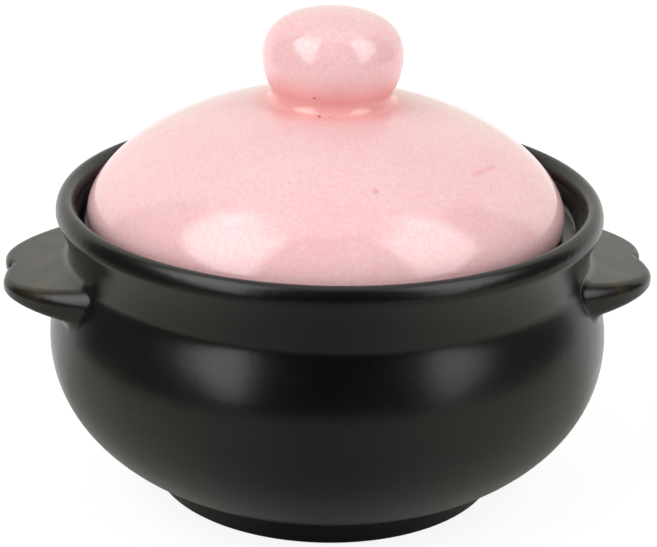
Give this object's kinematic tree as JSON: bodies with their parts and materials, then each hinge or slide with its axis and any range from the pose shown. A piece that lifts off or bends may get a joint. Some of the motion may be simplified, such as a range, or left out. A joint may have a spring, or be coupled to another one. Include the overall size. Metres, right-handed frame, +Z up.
{
  "type": "egg steamer pot",
  "caption": "Round-bellied stoneware pot with notched side lugs and a foot ring, and a domed lid with a ball knob that rests loose inside its rim, for steaming eggs.",
  "frame": {"origin": "centre of the foot ring's contact face, on the surface that the pot stands on, which is the middle of the underside of the overall box", "axes": "+Z up along the axis that the pot is turned about; +X through the middle of one lug, and the other lug is at -X; +Y across"},
  "size_m": [0.1796, 0.1552, 0.1339],
  "materials": {
    "pot_glaze": "satin black glaze",
    "lid_glaze": "gloss pale pink glaze"
  },
  "bodies": {
    "root": {"pot": "pot_glaze", "lid": "lid_glaze"}
  },
  "joints": []
}
